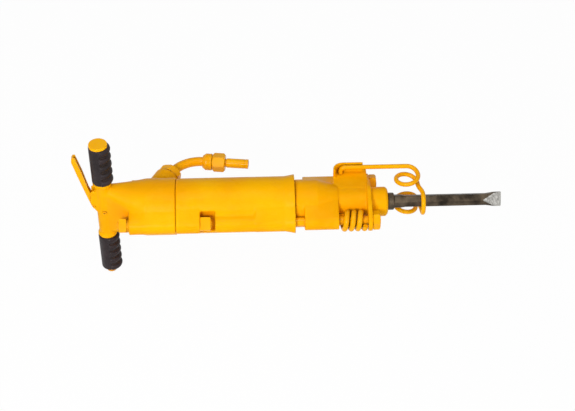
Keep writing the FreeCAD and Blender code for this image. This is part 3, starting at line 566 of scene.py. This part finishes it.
def soften(node, voxel, passes):
    copy = bpy.data.objects.new("softened", frame["nodes"][node].data.copy())
    scene.collection.objects.link(copy)
    pick(copy)
    bpy.ops.object.mode_set(mode="EDIT")
    bpy.ops.mesh.select_all(action="SELECT")
    bpy.ops.mesh.remove_doubles(threshold=merge_distance)
    bpy.ops.object.mode_set(mode="OBJECT")
    skin_over(copy, voxel, passes)
    pick(copy)
    bpy.ops.object.shade_smooth()
    return copy


castings = (("backhead", 0.0020, 7), ("cylinder", 0.0021, 5), ("front_head", 0.0018, 5))
for node, voxel, passes in castings:
    softened = soften(node, voxel, passes)
    settle(softened, node + "_casting", "housing", "yellow_paint", cast_enamel, node)

# %% [markdown]
# ## Grips
# The sleeves are moulded rubber: round at the palm, with five finger ridges on the working side
# that run into each other in deep valleys. Each is made of half a tube for the palm, a thinner tube
# for the valleys and five half rings for the ridges. They are joined, rebuilt from small cubes so
# that they become one skin, and smoothed like rubber, and the handle's arm is cut out of them.

# %% Sizes of a grip
bar_x = -0.649
arm_radius = 0.0131
palm_radius = 0.0222
palm_reach = 0.003
valley_radius = 0.0192
ridge_count = 5
ridge_pitch = 0.0215
first_ridge = 0.0085
ridge_radius = 0.0187
ridge_thickness = 0.0080
ridge_start = 0.002
print("grips on the bar at", bar_x)


# %% Model the grips
def along_bar(radius, length, middle, vertices):
    """A cylinder along the handle bar."""
    bpy.ops.object.select_all(action="DESELECT")
    bpy.ops.mesh.primitive_cylinder_add(vertices=vertices, radius=radius, depth=length,
                                        location=(bar_x, 0, middle))
    return bpy.context.object


def clear_side(piece, past_bar, **side):
    """Cut a piece square to X beside the bar, close it and clear one side."""
    pick(piece)
    bpy.ops.object.mode_set(mode="EDIT")
    bpy.ops.mesh.select_all(action="SELECT")
    bpy.ops.mesh.bisect(plane_co=(bar_x + past_bar, 0, 0), plane_no=(1, 0, 0), use_fill=True,
                        **side)
    bpy.ops.object.mode_set(mode="OBJECT")


def finger_ridge(z):
    bpy.ops.object.select_all(action="DESELECT")
    bpy.ops.mesh.primitive_torus_add(
        major_segments=72, minor_segments=20, major_radius=ridge_radius,
        minor_radius=ridge_thickness, location=(bar_x, 0, z))
    ridge = bpy.context.object
    clear_side(ridge, ridge_start, clear_inner=True)
    return ridge


def grip_rubber(node, end):
    """One sleeve; end is 1 above the bar and -1 below it."""
    low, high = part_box(node)
    inner, outer = (low[2], high[2]) if end > 0 else (high[2], low[2])
    middle = (inner + outer) / 2
    length = abs(outer - inner)
    sleeve = along_bar(palm_radius, length, middle, vertices=96)
    apply_modifier(sleeve, "BEVEL", width=0.003, segments=4)
    clear_side(sleeve, palm_reach, clear_outer=True)
    valley = along_bar(valley_radius, length, middle, vertices=96)
    apply_modifier(valley, "BEVEL", width=0.002, segments=3)
    added = [valley]
    for index in range(ridge_count):
        added.append(finger_ridge(outer - end * (first_ridge + ridge_pitch * index)))
    pick(sleeve)
    for piece in added:
        piece.select_set(True)
    bpy.ops.object.join()
    skin_over(sleeve, voxel=0.0012, passes=3)
    core = along_bar(arm_radius, 2 * length, middle, vertices=64)
    apply_modifier(sleeve, "BOOLEAN", operation="DIFFERENCE", object=core, solver="EXACT")
    bpy.data.objects.remove(core)
    pick(sleeve)
    bpy.ops.object.shade_smooth_by_angle(angle=math.radians(50))
    settle(sleeve, node + "_rubber", "housing", "grip_rubber", rubber, node)


grip_rubber("upper_grip", 1)
grip_rubber("lower_grip", -1)

# %% [markdown]
# ## Chisel
# The steel is a hexagon bar with a turned collar. Its end is drawn out in the forge, a little wider
# across and thinner, and then two facets are ground on it. Each facet cuts down through a ridge of
# the hexagon, so it starts in a point and widens like a diamond. Bars are primitives whose end
# faces are extruded and scaled, and the grinding is a bisect with the same planes as the finish.


# %% Bars and how their ends grow
def along_x(vertices, radius, start, end, turn=0.0):
    """A bar along X; turn is its turn about its own axis."""
    bpy.ops.object.select_all(action="DESELECT")
    bpy.ops.mesh.primitive_cylinder_add(
        vertices=vertices, radius=radius, depth=end - start, location=((start + end) / 2, 0, 0),
        rotation=(0, math.pi / 2, 0))
    bar = bpy.context.object
    pick(bar)
    bpy.ops.object.transform_apply(location=True, rotation=True, scale=True)
    bar.data.transform(Matrix.Rotation(turn, 4, "X"))
    return bar


def select_where(piece, test):
    """Select the faces whose middle and normal pass the test, as clicks would."""
    pick(piece)
    bpy.ops.object.mode_set(mode="EDIT")
    bpy.ops.mesh.select_mode(type="FACE")
    bpy.ops.mesh.select_all(action="DESELECT")
    bpy.ops.object.mode_set(mode="OBJECT")
    for face in piece.data.polygons:
        face.select = test(face.center, face.normal)
    bpy.ops.object.mode_set(mode="EDIT")


def grow_end(piece, step, thin, wide):
    """Extrude the far end face and scale it about the axis, along a ridge and across it."""
    end = max(corner.co.x for corner in piece.data.vertices)
    select_where(piece, lambda middle, normal: abs(middle.x - end) < 0.0001)
    bpy.ops.mesh.extrude_region_move(TRANSFORM_OT_translate={"value": (step, 0, 0)})
    bpy.ops.object.mode_set(mode="OBJECT")
    wide_way = Vector((1, 0, 0)).cross(ridge_way)
    for corner in piece.data.vertices:
        if corner.select:
            along = corner.co.dot(ridge_way) * thin
            across = corner.co.dot(wide_way) * wide
            corner.co = Vector((corner.co.x, 0, 0)) + ridge_way * along + wide_way * across


# %% The stock and its ground end
hex_reach = 2 / math.sqrt(3)
hex_turn = math.radians(30)
collar_start = 0.0003
stock_start = 0.010
stock_half = 0.013
drawn_out = ((0.016, 0.97, 1.0), (0.018, 0.86, 1.22), (0.018, 0.80, 1.06))

stock_end = chisel_edge - sum(step for step, thin, wide in drawn_out)
stock = along_x(6, stock_half * hex_reach, stock_start, stock_end, hex_turn)
for step, thin, wide in drawn_out:
    grow_end(stock, step, thin, wide)
round_edges(stock, 0.0016, 3, sharper_than=30)
for normal, distance in facets:
    select_where(stock, lambda middle, side: True)
    bpy.ops.mesh.bisect(plane_co=normal * distance, plane_no=normal, use_fill=True,
                        clear_outer=True)
    bpy.ops.object.mode_set(mode="OBJECT")
print("stock", len(stock.data.polygons), "faces")

# %% Shank, collar and neck
shank_back = -0.1517
shank_front = 0.004
shank_half = 0.0143
collar_radius = 0.0200
collar_length = 0.015
neck_end = 0.030
neck_half = 0.0145

shank = along_x(6, shank_half * hex_reach, shank_back, shank_front, hex_turn)
round_edges(shank, 0.0012, 3, sharper_than=30)
collar = along_x(96, collar_radius, collar_start, collar_start + collar_length)
round_edges(collar, 0.0028, 5, sharper_than=30)
neck = along_x(6, neck_half * hex_reach, stock_start, neck_end, hex_turn)
grow_end(neck, 0.012, thin=0.90, wide=0.90)
round_edges(neck, 0.0020, 3, sharper_than=30)
print("collar from", collar_start, "to", collar_start + collar_length)

# %% Join them into one piece
pick(stock)
for piece in (shank, collar, neck):
    piece.select_set(True)
bpy.ops.object.join()
skin_over(stock, voxel=0.0008, passes=2)
pick(stock)
bpy.ops.object.shade_smooth_by_angle(angle=math.radians(35))
settle(stock, "chisel_steel", "tool", "forged_steel", forged, "chisel")

# %% [markdown]
# ## Coupling
# The half of the hose coupling next to the pipe is turned round and knurled, so that a gloved hand
# can hold it while the hexagon half is tightened. The knurl is one drum whose side faces are inset
# as raised pads, and a twist leans them. The taper and the neck are extrusions of its end faces.

# %% The knurled drum
drum_radius = 0.0191
drum_half = 0.008
tooth_count = 32
twist = math.radians(22)

bpy.ops.object.select_all(action="DESELECT")
bpy.ops.mesh.primitive_cylinder_add(vertices=tooth_count, radius=drum_radius, depth=2 * drum_half)
drum = bpy.context.object
select_where(drum, lambda middle, normal: abs(normal.z) < 0.5)
bpy.ops.mesh.inset(thickness=0.0009, depth=0.0008, use_individual=True)
bpy.ops.object.mode_set(mode="OBJECT")
for level in (-0.005, -0.0025, 0.0, 0.0025, 0.005):
    select_where(drum, lambda middle, normal: True)
    bpy.ops.mesh.bisect(plane_co=(0, 0, level), plane_no=(0, 0, 1))
    bpy.ops.object.mode_set(mode="OBJECT")
apply_modifier(drum, "SIMPLE_DEFORM", deform_method="TWIST", deform_axis="Z", angle=twist)
print("knurl", len(drum.data.polygons), "faces")

# %% Its taper and its neck
taper_length = 0.006
taper_share = 0.77
lip_length = 0.0015
lip_share = 0.87


def select_end(end):
    select_where(drum, lambda middle, normal: (
        end * normal.z > 0.9 and abs(middle.z - end * drum_half) < 0.0001))


select_end(-1)
bpy.ops.mesh.extrude_region_move(TRANSFORM_OT_translate={"value": (0, 0, -taper_length)})
bpy.ops.transform.resize(value=(taper_share, taper_share, 1))
bpy.ops.object.mode_set(mode="OBJECT")
select_end(1)
bpy.ops.mesh.inset(thickness=drum_radius * (1 - lip_share))
bpy.ops.mesh.extrude_region_move(TRANSFORM_OT_translate={"value": (0, 0, lip_length)})
bpy.ops.object.mode_set(mode="OBJECT")
round_edges(drum, 0.0003, 2, sharper_than=25)
print("drum", len(drum.data.polygons), "faces")

# %% Put it on the pipe
tail_mount = next(m for m in frame["record"]["mounts"] if m["name"] == "air_hose_tail")
tail_way = Vector(tail_mount["axis"])
drum_behind_tail = 0.069

pick(drum)
bpy.ops.object.shade_smooth_by_angle(angle=math.radians(35))
drum.rotation_mode = "QUATERNION"
drum.rotation_quaternion = tail_way.to_track_quat("Z", "X")
drum.location = Vector(tail_mount["pos_m"]) - tail_way * drum_behind_tail
settle(drum, "knurled_coupling", "gooseneck", "yellow_paint", smooth_enamel, "coupling_body")
